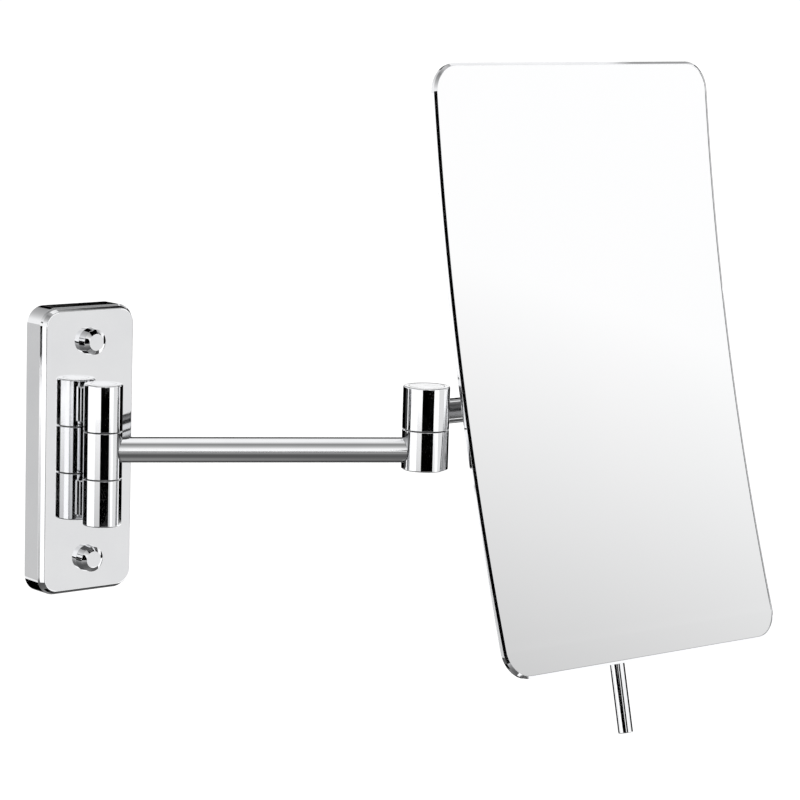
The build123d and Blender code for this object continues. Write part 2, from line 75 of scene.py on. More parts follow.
PAST = 1.0  # how far a cutter runs past the surface that it opens
FIT_GAP = 0.05  # between a piece and the hole that takes it
FACE_GAP = 0.02  # between faces that rest on each other
WELD_GAP = 1e-5  # points closer than this are one point
ON_AXIS = 1e-6  # a ring smaller than this is one point on the axis
ROUND = 96  # steps round a turned piece
SMALL_ROUND = 48  # steps round a hole or a rivet
SHARP_ANGLE = 32  # degrees between faces, from which an edge is shaded sharp
DRESSED_EDGE = 0.12  # width of the soft edge on the dressed CAD nodes

PLATE_W = span("wall_plate", X)
PLATE_H = span("wall_plate", Z)
PLATE_T = span("wall_plate", Y)
PLATE_CORNER_R = 6.5
PLATE_FACET_W = 0.6
PLATE_FACET_H = 0.5
PLATE_RISE = 1.8
PLATE_RISE_W = 0.66
SHELL_T = 1.4
HOLE_R = 2.4

SCREW_BACK = high("wall_screws", Y)
THREAD_R = 2.1
THREAD_ROOT_R = 1.35
THREAD_PITCH = 1.7
SHANK_R = 1.9
SCREW_TIP_L = 5.0
SCREW_HEAD_R = 3.3
SCREW_HEAD_H = 1.3
CUP_T = 0.7
CAP_R = 4.7
CAP_H = span("screw_cover_caps", Y)
CAP_WALL = 0.6
SCREW_Z = span("screw_cover_caps", Z) / 2 - CAP_R

KNUCKLE_R = span("hinge_knuckle_upper", X) / 2
HINGE_TOP_Z = high("hinge_knuckle_upper", Z)
HUB_TOP_Z = high("arm_hub", Z)
HUB_LOW_Z = low("arm_hub", Z)
HINGE_LOW_Z = low("hinge_knuckle_lower", Z)
UPPER_INNER_Z = low("hinge_knuckle_upper", Z)
LOWER_INNER_Z = high("hinge_knuckle_lower", Z)
UPPER_SPLIT_Z = (HUB_TOP_Z + UPPER_INNER_Z) / 2
LOWER_SPLIT_Z = (HUB_LOW_Z + LOWER_INNER_Z) / 2
KNUCKLE_ZS = (HINGE_TOP_Z + UPPER_SPLIT_Z) / 2, (HINGE_LOW_Z + LOWER_SPLIT_Z) / 2
KNUCKLE_END_EDGE_R = 0.5
SPLIT_EDGE_R = 0.2
BLOCK_W = 7.0
BLOCK_H = 12.4
BLOCK_EDGE = 0.4
BLOCK_SINK = 0.01  # into the plate's face
PIN_BORE_R = 2.53
BUSH_BORE_R = 3.88
END_CAP_R = 4.4
END_CAP_T = 1.2
END_CAP_GAP = 0.03
WASHER_POCKET = 0.68
WASHER_POCKET_R = 5.4
KNUCKLE_SCREW_R = 2.0
KNUCKLE_SCREW_HEAD_R = 3.6
KNUCKLE_SCREW_HEAD_H = 2.4
KNUCKLE_SCREW_SEAT = 4.5
KNUCKLE_SCREW_END = 15.9
KNUCKLE_SOCKET_R = 1.75
KNUCKLE_SOCKET_DEPTH = 1.5

TUBE_R = span("neck_rod", Z) / 2
TUBE_WALL = 1.0
TUBE_BORE_R = TUBE_R - TUBE_WALL
TUBE_EDGE = 0.12
TUBE_Z = 1.3
SPIGOT_R = TUBE_BORE_R - FIT_GAP
SPIGOT_L = 20.0

ELBOW_R = span("elbow_upper", Y) / 2
ELBOW_LOW_Z = low("elbow_lower", Z)
ELBOW_LOWER_TOP_Z = high("elbow_lower", Z)
ELBOW_UPPER_LOW_Z = low("elbow_upper", Z)
ELBOW_TOP_Z = high("elbow_upper", Z)
ELBOW_END_EDGE_R = 0.5
BOLT_BORE_R = 3.05
BOLT_HEAD_BORE_R = 4.65
BOLT_HEAD_DEPTH = 3.65
PLUG_R = 6.3
PLUG_T = 1.2
ELBOW_WASHER_POCKET_R = 6.9
NECK_BUSH_BORE_R = 4.23
CUP_FLOOR_Z = 17.0

NECK_SHOULDER = 63.35
SHOULDER_EDGE = 0.4
SHOULDER_EDGE_STEP = 0.12  # how deep the middle of that edge is cut
JOURNAL_R = 3.2
JOURNAL_END = 86.25
NECK_SCREWED_R = 2.5
END_SCREW_HEAD_R = 3.9
END_SCREW_HEAD_H = 2.4
END_SCREW_R = 2.0
END_SCREW_L = 8.8
END_SOCKET_R = 1.44
END_SOCKET_DEPTH = 1.2

MIRROR_W = span("mirror_rim", X)
MIRROR_H = 216.97
MIRROR_CORNER_R = 10.5
BEND_R = 1000.0
REST_TILT = 13.5
MIRROR_AHEAD = 11.5
MIRROR_RISE = 12.2
RIM_WALL = 0.7
RIM_LIP = 1.2
RIM_PROUD = 0.2
RIM_BEVEL = 0.95
RIM_BEVEL_DROP = 0.74
RIM_DEPTH = 2.05
SHEET_INSET = 0.75
GLASS_T = 1.1
PAD_T = 0.4
BACK_T = 0.5
PANEL_T = GLASS_T + PAD_T + BACK_T
SIDE_STEPS = 56  # along the mirror's long sides

BRACKET_W = 24.0
BRACKET_H = 62.0
BRACKET_T = 3.2
BRACKET_CORNER_R = 5.0
RIB_W = 5.0
RIB_LOW_Z = -15.0
RIB_TOP_Z = 22.0
CAST_EDGE = 0.4
FLAT_CUTTER_T = 6.0
SLEEVE_R = 7.0
SLEEVE_HALF = 11.0
BOSS_R = 5.2
BOSS_END_Z = -16.0
RIVET_X = 7.5
RIVET_Z = 25.0
RIVET_R = 1.5
RIVET_HEAD_R = 2.7
RIVET_HEAD_H = 1.4
CLAMP_BOSS_R = 4.0
CLAMP_BOSS_END = 9.2
CLAMP_BORE_R = 2.05
HANDLE_R = 2.7
HANDLE_END_Z = -122.7
HANDLE_SCREWED_R = 2.0
HANDLE_SCREWED_L = 8.0
COLLAR_R = 4.2
COLLAR_H = 3.0
GROOVE_HALF = 0.25
GROOVE_DEPTH = 0.2

# ---------------------------------------------------------------- frames of the moving groups

joint_at = {joint["name"]: Vector(joint["pos_m"]) for joint in frame["joints"]}
SIZE = Matrix.Scale(MM, 4)
arm_line = joint_at["elbow_turn"] - joint_at["arm_swing"]
arm_turn = Matrix.Rotation(atan2(arm_line.y, arm_line.x), 4, "Z")
head_turn = Matrix.Rotation(radians(-REST_TILT), 4, "X")
ARM_L = arm_line.length / MM
WALL = SIZE
HINGE = Matrix.Translation(joint_at["arm_swing"]) @ SIZE
ARM = Matrix.Translation(joint_at["arm_swing"]) @ arm_turn @ SIZE
ELBOW_OF_ARM = ARM @ Matrix.Translation((ARM_L, 0, 0))
NECK = Matrix.Translation(joint_at["elbow_turn"]) @ SIZE
NECK_Z = joint_at["mirror_tilt"].z / MM
HEAD = Matrix.Translation(joint_at["mirror_tilt"]) @ head_turn @ SIZE
PANEL_IN_HEAD = Matrix.Translation((0, -MIRROR_AHEAD, MIRROR_RISE))
PANEL = HEAD @ PANEL_IN_HEAD
ALONG_X = Matrix.Rotation(radians(90), 4, "Y")
OUT_OF_WALL = Matrix.Rotation(radians(90), 4, "X")


# ---------------------------------------------------------------- mesh makers


def rounded(corners, closed=False, steps=6):
    """Outline through corners (x, y, radius), with an arc of that radius at each corner."""
    points = []
    count = len(corners)
    for index, (x, y, radius) in enumerate(corners):
        here = Vector((x, y))
        at_end = not closed and index in (0, count - 1)
        if radius == 0 or at_end:
            points.append(here)
            continue
        back = (Vector(corners[index - 1][:2]) - here).normalized()
        ahead = (Vector(corners[(index + 1) % count][:2]) - here).normalized()
        half = back.angle(ahead) / 2
        centre = here + (back + ahead).normalized() * radius / sin(half)
        start = here + back * radius / tan(half) - centre
        turn = start.angle_signed(here + ahead * radius / tan(half) - centre)
        for step in range(steps + 1):
            angle = -turn * step / steps
            spoke = Vector((
                start.x * cos(angle) - start.y * sin(angle),
                start.x * sin(angle) + start.y * cos(angle),
            ))
            points.append(centre + spoke)
    return [tuple(point) for point in points]


def linked(name, data):
    """New object in the scene from a mesh or a camera."""
    obj = bpy.data.objects.new(name, data)
    bpy.context.scene.collection.objects.link(obj)
    return obj


def solid(name, points, faces, place=None):
    """Object from points and faces, with its faces turned outwards."""
    mesh = bpy.data.meshes.new(name)
    mesh.from_pydata([Vector(point) for point in points], [], faces)
    if place is not None:
        mesh.transform(place)
    shape = bmesh.new()
    shape.from_mesh(mesh)
    bmesh.ops.remove_doubles(shape, verts=shape.verts, dist=WELD_GAP)
    bmesh.ops.recalc_face_normals(shape, faces=shape.faces)
    shape.to_mesh(mesh)
    shape.free()
    return linked(name, mesh)


def ring_round(points, radius, height, count):
    """Adds a ring round the Z axis to the points, or one point on it, and gives its numbers."""
    first = len(points)
    if radius < ON_AXIS:
        points.append((0, 0, height))
        return [first] * count
    for step in range(count):
        angle = 2 * pi * step / count
        points.append((radius * cos(angle), radius * sin(angle), height))
    return list(range(first, first + count))


def turned(outline, place=None, closed=False, count=ROUND):
    """Solid turned on the local Z axis from an outline of (radius, height)."""
    points = []
    rings = [ring_round(points, radius, height, count) for radius, height in outline]
    return solid("turned", points, bridged(rings, closed), place)


def bridged(rings, closed):
    """Faces between neighbouring rings of point numbers, and from last to first if closed."""
    faces = []
    pairs = list(zip(rings, rings[1:]))
    if closed:
        pairs.append((rings[-1], rings[0]))
    for one, two in pairs:
        for step in range(len(one)):
            after = (step + 1) % len(one)
            face = []
            for number in (one[step], one[after], two[after], two[step]):
                if number not in face:
                    face.append(number)
            if len(face) > 2:
                faces.append(face)
    return faces


def stacked(rings, closed=False):
    """Solid through rings of points: capped at both ends, or closed on itself."""
    points = [point for ring in rings for point in ring]
    size = len(rings[0])
    numbers = [list(range(index * size, (index + 1) * size)) for index in range(len(rings))]
    faces = bridged(numbers, closed)
    if not closed:
        faces += [numbers[0][::-1], numbers[-1]]
    return solid("stacked", points, faces)


def box(size, middle, edge=0.0):
    """Block, with a bevel round its edges if one is given."""
    shape = bmesh.new()
    placed = Matrix.Translation(middle) @ Matrix.Diagonal((*size, 1))
    bmesh.ops.create_cube(shape, size=1.0, matrix=placed)
    if edge:
        bmesh.ops.bevel(shape, geom=shape.edges[:], offset=edge, segments=3, profile=0.5, affect="EDGES")
    mesh = bpy.data.meshes.new("block")
    shape.to_mesh(mesh)
    shape.free()
    return linked("block", mesh)


def post(radius, start, end, start_edge=0.0, end_edge=0.0):
    """Upright round bar, with its own rounding at each end."""
    corners = [(0, start, 0), (radius, start, start_edge), (radius, end, end_edge), (0, end, 0)]
    return turned(rounded(corners))


def bar_along(radius, start, end, z, edge=0.0):
    """Round bar along the local X axis."""
    bar = post(radius, start, end, edge, edge)
    bar.data.transform(Matrix.Translation((0, 0, z)) @ ALONG_X)
    return bar


def across_wall(radius, near, far, z):
    """Round bar pointing out of the wall between two depths."""
    place = Matrix.Translation((0, 0, z)) @ OUT_OF_WALL
    return turned([(0, near), (radius, near), (radius, far), (0, far)], place, count=SMALL_ROUND)


def apply_modifiers(obj):
    """Turns what the modifiers make into the object's own mesh."""
    bpy.context.view_layer.update()
    graph = bpy.context.evaluated_depsgraph_get()
    mesh = bpy.data.meshes.new_from_object(obj.evaluated_get(graph))
    obj.modifiers.clear()
    obj.data = mesh


def combined(base, others, operation):
    """Base with the others added or cut away. The others are used up."""
    for other in others:
        modifier = base.modifiers.new(operation.lower(), "BOOLEAN")
        modifier.operation = operation
        modifier.object = other
        modifier.solver = "EXACT"
    apply_modifiers(base)
    for other in others:
        bpy.data.objects.remove(other)
    return base


def united(base, *others):
    """Base with the others added."""
    return combined(base, others, "UNION")


def cut(base, *others):
    """Base with the others cut away."""
    return combined(base, others, "DIFFERENCE")


def gathered(shapes):
    """One object that holds several separate shapes."""
    shape = bmesh.new()
    for other in shapes:
        shape.from_mesh(other.data)
        bpy.data.objects.remove(other)
    mesh = bpy.data.meshes.new("gathered")
    shape.to_mesh(mesh)
    shape.free()
    return linked("gathered", mesh)


def smooth(obj):
    """Smooth shading that keeps sharp edges sharp and flat faces flat."""
    obj.data.shade_smooth()
    obj.data.set_sharp_from_angle(angle=radians(SHARP_ANGLE))
    modifier = obj.modifiers.new("flat_faces", "WEIGHTED_NORMAL")
    modifier.keep_sharp = True
    modifier.weight = 80


def piece(obj, name, body, place, material, slot, *nodes):
    """Brings a piece to its place, gives it its body and its finish, and hides the CAD nodes it replaces."""
    obj.name = name
    obj.data.name = name
    obj.data.transform(place)
    obj.data.materials.clear()
    obj.data.materials.append(material)
    smooth(obj)
    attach(obj, body)
    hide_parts(*nodes)


# ---------------------------------------------------------------- materials


def made(name):
    """New material with its shader and its node tree."""
    material = bpy.data.materials.new(name)
    material.use_nodes = True
    return material, material.node_tree.nodes["Principled BSDF"], material.node_tree


def noise(tree, scale, detail=3.0, stretch=(1, 1, 1)):
    """Noise fixed to the piece. Scale is in features per metre."""
    coordinates = tree.nodes.new("ShaderNodeTexCoord")
    mapping = tree.nodes.new("ShaderNodeMapping")
    mapping.inputs["Scale"].default_value = stretch
    texture = tree.nodes.new("ShaderNodeTexNoise")
    texture.inputs["Scale"].default_value = scale
    texture.inputs["Detail"].default_value = detail
    tree.links.new(coordinates.outputs["Object"], mapping.inputs["Vector"])
    tree.links.new(mapping.outputs["Vector"], texture.inputs["Vector"])
    return texture.outputs["Fac"]


def ranged(tree, value, lowest, highest):
    """Value brought from noise's usual range to the given one."""
    node = tree.nodes.new("ShaderNodeMapRange")
    node.inputs["From Min"].default_value = 0.3
    node.inputs["From Max"].default_value = 0.7
    node.inputs["To Min"].default_value = lowest
    node.inputs["To Max"].default_value = highest
    tree.links.new(value, node.inputs["Value"])
    return node.outputs["Result"]


def tinted(tree, value, one, two):
    """Colour between two tints, by a noise value."""
    ramp = tree.nodes.new("ShaderNodeValToRGB")
    ramp.color_ramp.elements[0].position = 0.35
    ramp.color_ramp.elements[1].position = 0.65
    ramp.color_ramp.elements[0].color = (*one, 1)
    ramp.color_ramp.elements[1].color = (*two, 1)
    tree.links.new(value, ramp.inputs["Fac"])
    return ramp.outputs["Color"]


def bumped(tree, layers):
    """Normal made by several heights on top of each other, each (value, height in millimetres)."""
    normal = None
    for value, height in layers:
        bump = tree.nodes.new("ShaderNodeBump")
        bump.inputs["Strength"].default_value = 1.0
        bump.inputs["Distance"].default_value = height * MM
        tree.links.new(value, bump.inputs["Height"])
        if normal is not None:
            tree.links.new(normal, bump.inputs["Normal"])
        normal = bump.outputs["Normal"]
    return normal


def metal(name, one, two, rough, wave_mm, grain_mm, stretch=(1, 1, 1), grain_scale=900.0, edge_tint=1.0):
    """Metal with smears in its gloss, a shallow waviness left by polishing and a fine grain."""
    material, shader, tree = made(name)
    shader.inputs["Metallic"].default_value = 1.0
    shader.inputs["Specular Tint"].default_value = (edge_tint, edge_tint, edge_tint, 1)
    smears = noise(tree, 55.0, 4.0)
    grain = noise(tree, grain_scale, 2.0, stretch)
    tree.links.new(tinted(tree, smears, one, two), shader.inputs["Base Color"])
    tree.links.new(ranged(tree, noise(tree, 160.0, 5.0, stretch), *rough), shader.inputs["Roughness"])
    layers = [(noise(tree, 95.0, 1.0), wave_mm), (grain, grain_mm)]
    tree.links.new(bumped(tree, layers), shader.inputs["Normal"])
    return material


def plastic(name, one, two, rough, grain_scale, grain_mm):
    """Matt plastic or foam with a fine skin."""
    material, shader, tree = made(name)
    shader.inputs["Specular IOR Level"].default_value = 0.4
    tree.links.new(tinted(tree, noise(tree, 120.0, 3.0), one, two), shader.inputs["Base Color"])
    tree.links.new(ranged(tree, noise(tree, 300.0, 3.0), *rough), shader.inputs["Roughness"])
    layers = [(noise(tree, grain_scale, 2.0), grain_mm)]
    tree.links.new(bumped(tree, layers), shader.inputs["Normal"])
    return material


def silvered_glass():
    """Mirror: a silvered sheet under clear glass, with the faintest haze of cleaning marks."""
    material, shader, tree = made("mirror_silver")
    shader.inputs["Metallic"].default_value = 1.0
    shader.inputs["Coat Weight"].default_value = 0.35
    shader.inputs["Coat Roughness"].default_value = 0.0
    haze = noise(tree, 14.0, 5.0, (1, 1, 0.45))
    silver = tinted(tree, haze, (0.975, 0.98, 0.985), (0.985, 0.985, 0.99))
    tree.links.new(silver, shader.inputs["Base Color"])
    tree.links.new(ranged(tree, haze, 0.0, 0.012), shader.inputs["Roughness"])
    return material


CHROME_TINTS = (0.93, 0.935, 0.945), (0.90, 0.905, 0.92)
CHROME = metal("chrome", *CHROME_TINTS, (0.02, 0.065), 0.006, 0.0003)
TUBE_CHROME = metal("tube_chrome", *CHROME_TINTS, (0.02, 0.065), 0.006, 0.0003, edge_tint=0.0)
PLATE_CHROME = metal("plate_chrome", *CHROME_TINTS, (0.03, 0.075), 0.004, 0.0003, edge_tint=0.1)
RIM_CHROME = metal("rim_chrome", (0.90, 0.905, 0.92), (0.86, 0.865, 0.88), (0.03, 0.08), 0.002, 0.0003)
SILVER = silvered_glass()
SATIN = metal(
    "satin_steel", (0.30, 0.30, 0.305), (0.23, 0.23, 0.235), (0.24, 0.38), 0.004, 0.004,
    stretch=(30, 30, 0.6), grain_scale=120.0,
)
STEEL = metal("zinc_plated_steel", (0.66, 0.655, 0.63), (0.52, 0.53, 0.55), (0.2, 0.42), 0.004, 0.004)
CAST = metal("cast_alloy", (0.50, 0.50, 0.505), (0.40, 0.40, 0.405), (0.42, 0.62), 0.02, 0.02)
NYLON = plastic("white_nylon", (0.86, 0.85, 0.82), (0.80, 0.79, 0.76), (0.38, 0.55), 1500.0, 0.004)
ACETAL = plastic("black_acetal", (0.035, 0.035, 0.037), (0.022, 0.022, 0.024), (0.3, 0.5), 1500.0, 0.004)
FOAM = plastic("foam_tape", (0.30, 0.30, 0.31), (0.22, 0.22, 0.23), (0.8, 0.95), 2500.0, 0.05)

NODE_FINISH = {
    "plate_core": CAST,
    "screw_cup_rings": STEEL,
    "hinge_pin": STEEL,
    "hinge_friction_washers": ACETAL,
    "hub_bush": NYLON,
    "elbow_pivot_bolt": STEEL,
    "elbow_friction_washer": ACETAL,
    "elbow_spring_washers": STEEL,
    "elbow_lock_nut": STEEL,
    "elbow_bush": NYLON,
    "neck_side_washer": ACETAL,
    "neck_end_washer": STEEL,
    "adhesive_pad": FOAM,
    "tilt_bush": NYLON,
    "tilt_clamp_screw": STEEL,
}


def dress(node, material):
    """Gives a CAD node its finish, and takes the sharpness off its edges without moving them."""
    obj = frame["nodes"][node]
    obj.data.materials.clear()
    obj.data.materials.append(material)
    weld = obj.modifiers.new("weld", "WELD")
    weld.merge_threshold = 0.002 * MM
    bevel = obj.modifiers.new("edges", "BEVEL")
    bevel.width = DRESSED_EDGE * MM
    bevel.segments = 2
    bevel.limit_method = "ANGLE"
    bevel.angle_limit = radians(40)
    bevel.harden_normals = False


# ---------------------------------------------------------------- wall body


def rectangle_ring(width, height, corner, corner_steps=12, side_steps=1):
    """Round-cornered rectangle as (x, z), with its upright sides divided."""
    points = []
    quarters = ((1, 1, 0), (-1, 1, 90), (-1, -1, 180), (1, -1, 270))
    for index, (right, up, start) in enumerate(quarters):
        middle_x = right * (width / 2 - corner)
        middle_z = up * (height / 2 - corner)
        for step in range(corner_steps + 1):
            angle = radians(start + 90 * step / corner_steps)
            points.append((middle_x + corner * cos(angle), middle_z + corner * sin(angle)))
        if index % 2:
            straight = height - 2 * corner
            for step in range(1, side_steps):
                points.append((right * width / 2, up * (height / 2 - corner - straight * step / side_steps)))
    return points


def wall_shell():
    """Pressed plate: outside with a facet and a sloping rise, inside hollow, four holes through."""

    def ring(inset, depth):
        flat = rectangle_ring(PLATE_W - 2 * inset, PLATE_H - 2 * inset, PLATE_CORNER_R - inset)
        return [(x, -depth, z) for x, z in flat]

    step = PLATE_T - PLATE_RISE
    outside = rounded([
        (0, 0, 0),
        (0, step - PLATE_FACET_H, 0.12),
        (PLATE_FACET_W, step, 0.1),
        (PLATE_FACET_W + PLATE_RISE_W, PLATE_T, 0.3),
        (2 * PLATE_FACET_W + PLATE_RISE_W, PLATE_T, 0),
    ])
    rings = [ring(SHELL_T, PLATE_T - SHELL_T), ring(SHELL_T, 0.0)]
    rings += [ring(inset, depth) for inset, depth in outside]
    shell = stacked(rings)
    holes = [across_wall(HOLE_R, -PAST, PLATE_T + PAST, z) for z in (SCREW_Z, -SCREW_Z)]
    holes += [across_wall(KNUCKLE_SCREW_R, -PAST, PLATE_T + PAST, z) for z in KNUCKLE_ZS]
    return cut(shell, *holes)


def wall_screw(z):
    """Screw: a helical thread in the wall, a plain neck and a rounded head under the cap."""
    length = SCREW_BACK
    pitch_steps = 12
    ring_count = ceil(length / THREAD_PITCH * pitch_steps)
    around = 36
    crest_sharpness = 1.6
    points = []
    rings = []
    for index in range(ring_count):
        along = length * index / ring_count
        taper = min(1.0, (length - along) / SCREW_TIP_L)
        deep = min(1.0, along / THREAD_PITCH)
        rings.append(list(range(len(points), len(points) + around)))
        for step in range(around):
            turn = along / THREAD_PITCH - step / around
            crest = abs(2 * (turn % 1.0) - 1) ** crest_sharpness
            radius = THREAD_R - (THREAD_R - THREAD_ROOT_R) * (1 - crest) * deep
            angle = 2 * pi * step / around
            points.append((radius * taper * cos(angle), radius * taper * sin(angle), -along))
    rings.append(ring_round(points, 0, -length, around))
    rings.reverse()
    seat = PLATE_T + CUP_T
    top = seat + SCREW_HEAD_H
    neck = [(SHANK_R, 0.0), (SHANK_R, seat)]
    head = rounded([(SCREW_HEAD_R, seat, 0), (SCREW_HEAD_R, top, 0.6), (0, top, 0)])
    rings += [ring_round(points, radius, height, around) for radius, height in neck + head]
    place = Matrix.Translation((0, 0, z)) @ OUT_OF_WALL
    return solid("screw", points, bridged(rings, False), place)


def screw_cap(z):
    """Hollow cap: a slightly tapered wall and a broad bevel round its flat face."""
    taper = 0.32
    bevel_w = 1.5
    bevel_h = 0.95
    wall_top = CAP_H - bevel_h
    face_under = wall_top - CAP_WALL / 2
    outline = rounded(
        [
            (0, CAP_H, 0),
            (CAP_R - taper - bevel_w, CAP_H, 0.08),
            (CAP_R - taper, wall_top, 0.1),
            (CAP_R, 0, 0.05),
            (CAP_R - CAP_WALL, 0, 0.05),
            (CAP_R - CAP_WALL - taper, face_under, 0.3),
            (0, face_under, 0),
        ],
        steps=4,
    )
    place = Matrix.Translation((0, -PLATE_T, z)) @ OUT_OF_WALL
    return turned(outline, place)


def end_knuckle(inner_z, outer_z, screw_z):
    """Fixed knuckle with its block to the plate, bored for the pin, the cap and the washer."""
    outward = 1 if outer_z > inner_z else -1
    barrel = post(KNUCKLE_R, inner_z, outer_z, SPLIT_EDGE_R, KNUCKLE_END_EDGE_R)
    reach = -joint_at["arm_swing"].y / MM - PLATE_T
    block = box((BLOCK_W, reach, BLOCK_H), (0, reach / 2 + BLOCK_SINK, screw_z), BLOCK_EDGE)
    cap_bore_r = END_CAP_R + END_CAP_GAP
    cap_seat = outer_z - outward * END_CAP_T
    washer_seat = inner_z + outward * WASHER_POCKET
    past_outer = outer_z + outward * PAST
    past_inner = inner_z - outward * PAST
    bore = turned([
        (0, past_outer), (cap_bore_r, past_outer), (cap_bore_r, cap_seat), (PIN_BORE_R, cap_seat),
        (PIN_BORE_R, washer_seat), (WASHER_POCKET_R, washer_seat), (WASHER_POCKET_R, past_inner),
        (0, past_inner),
    ])
    return cut(united(barrel, block), bore)


def socket(radius, start, end):
    """Six-sided cutter for the socket of a screw's head."""
    return turned([(0, start), (radius, start), (radius, end), (0, end)], count=6)


def knuckle_screw(z):
    """Cap screw from the back of the plate: a six-sided socket in a bevelled head."""
    seat = KNUCKLE_SCREW_SEAT
    back = seat - KNUCKLE_SCREW_HEAD_H
    screw = turned(rounded(
        [
            (0, back, 0),
            (KNUCKLE_SCREW_HEAD_R, back, 0.3),
            (KNUCKLE_SCREW_HEAD_R, seat, 0),
            (KNUCKLE_SCREW_R, seat, 0),
            (KNUCKLE_SCREW_R, KNUCKLE_SCREW_END, 0.3),
            (0, KNUCKLE_SCREW_END, 0),
        ]
    ))
    cut(screw, socket(KNUCKLE_SOCKET_R, back - PAST, back + KNUCKLE_SOCKET_DEPTH))
    screw.data.transform(Matrix.Translation((0, 0, z)) @ OUT_OF_WALL)
    return screw


def make_wall_body():
    piece(wall_shell(), "wall_plate_shell", "wall_base", WALL, PLATE_CHROME, "polished_chrome", "wall_plate")
    caps = gathered([screw_cap(z) for z in (SCREW_Z, -SCREW_Z)])
    piece(caps, "wall_screw_caps", "wall_base", WALL, CHROME, "polished_chrome", "screw_cover_caps")
    screws = gathered([wall_screw(z) for z in (SCREW_Z, -SCREW_Z)])
    piece(screws, "threaded_wall_screws", "wall_base", WALL, STEEL, "plain_steel", "wall_screws")
    upper = end_knuckle(UPPER_INNER_Z, HINGE_TOP_Z, KNUCKLE_ZS[0])
    piece(upper, "upper_knuckle", "wall_base", HINGE, CHROME, "polished_chrome", "hinge_knuckle_upper")
    lower = end_knuckle(LOWER_INNER_Z, HINGE_LOW_Z, KNUCKLE_ZS[1])
    piece(lower, "lower_knuckle", "wall_base", HINGE, CHROME, "polished_chrome", "hinge_knuckle_lower")
    caps = gathered([
        post(END_CAP_R, HINGE_TOP_Z - END_CAP_T + FACE_GAP, HINGE_TOP_Z, end_edge=0.2),
        post(END_CAP_R, HINGE_LOW_Z + END_CAP_T - FACE_GAP, HINGE_LOW_Z, end_edge=0.2),
    ])
    piece(caps, "hinge_closing_caps", "wall_base", HINGE, CHROME, "polished_chrome", "hinge_end_caps")
    screws = gathered([knuckle_screw(z) for z in KNUCKLE_ZS])
    piece(screws, "knuckle_cap_screws", "wall_base", WALL, STEEL, "plain_steel", "knuckle_screws")


# ---------------------------------------------------------------- arm body


def saddle(radius, around_r):
    """Where a tube's end meets an upright cylinder, at each step round the tube."""
    return [sqrt(around_r**2 - (radius * sin(2 * pi * step / ROUND)) ** 2) for step in range(ROUND)]


def tube_ring(radius, ends, z):
    """Ring round the local X axis, each point at its own distance along it."""
    count = len(ends)
    return [
        (ends[step], radius * sin(2 * pi * step / count), z + radius * cos(2 * pi * step / count))
        for step in range(count)
    ]


def arm_tube():
    """Hollow tube between the hub and the elbow."""

    def ends(radius, trim):
        start = [reach + trim for reach in saddle(radius, KNUCKLE_R)]
        end = [ARM_L - reach - trim for reach in saddle(radius, ELBOW_R)]
        return start, end

    outer_start, outer_end = ends(TUBE_R, TUBE_EDGE)
    edge_start, edge_end = ends(TUBE_R - TUBE_EDGE, FACE_GAP)
    inner_start, inner_end = ends(TUBE_BORE_R, FACE_GAP)
    rings = [
        tube_ring(TUBE_R, outer_start, TUBE_Z),
        tube_ring(TUBE_R, outer_end, TUBE_Z),
        tube_ring(TUBE_R - TUBE_EDGE, edge_end, TUBE_Z),
        tube_ring(TUBE_BORE_R, inner_end, TUBE_Z),
        tube_ring(TUBE_BORE_R, inner_start, TUBE_Z),
        tube_ring(TUBE_R - TUBE_EDGE, edge_start, TUBE_Z),
    ]
    return stacked(rings, closed=True)


def hub():
    """Middle knuckle with its spigot, bored for the bush."""
    barrel = post(KNUCKLE_R, HUB_LOW_Z, HUB_TOP_Z, SPLIT_EDGE_R, SPLIT_EDGE_R)
    barrel = united(barrel, bar_along(SPIGOT_R, 0, SPIGOT_L, TUBE_Z, 0.3))
    return cut(barrel, post(BUSH_BORE_R, HUB_LOW_Z - PAST, HUB_TOP_Z + PAST))


def lower_elbow():
    """Lower elbow cylinder with its spigot, stepped for the bolt, its head, the plug and the washer."""
    barrel = post(ELBOW_R, ELBOW_LOW_Z, ELBOW_LOWER_TOP_Z, ELBOW_END_EDGE_R, SPLIT_EDGE_R)
    barrel = united(barrel, bar_along(SPIGOT_R, -SPIGOT_L, 0, TUBE_Z, 0.3))
    seat = ELBOW_LOW_Z + PLUG_T
    pocket = ELBOW_LOWER_TOP_Z - WASHER_POCKET
    bore = turned([
        (0, ELBOW_LOW_Z - PAST), (PLUG_R + FIT_GAP, ELBOW_LOW_Z - PAST), (PLUG_R + FIT_GAP, seat),
        (BOLT_HEAD_BORE_R, seat), (BOLT_HEAD_BORE_R, seat + BOLT_HEAD_DEPTH),
        (BOLT_BORE_R, seat + BOLT_HEAD_DEPTH), (BOLT_BORE_R, pocket),
        (ELBOW_WASHER_POCKET_R, pocket), (ELBOW_WASHER_POCKET_R, ELBOW_LOWER_TOP_Z + PAST),
        (0, ELBOW_LOWER_TOP_Z + PAST),
    ])
    return cut(barrel, bore)


def make_arm_body():
    piece(hub(), "arm_hub_barrel", "arm", ARM, CHROME, "polished_chrome", "arm_hub")
    piece(arm_tube(), "arm_tube_polished", "arm", ARM, TUBE_CHROME, "polished_chrome", "arm_tube")
    piece(lower_elbow(), "elbow_lower_barrel", "arm", ELBOW_OF_ARM, CHROME, "polished_chrome", "elbow_lower")
    plug = post(PLUG_R, ELBOW_LOW_Z + PLUG_T, ELBOW_LOW_Z, end_edge=0.25)
    piece(plug, "elbow_plug_disc", "arm", ELBOW_OF_ARM, CHROME, "polished_chrome", "elbow_bottom_plug")


# ---------------------------------------------------------------- neck body


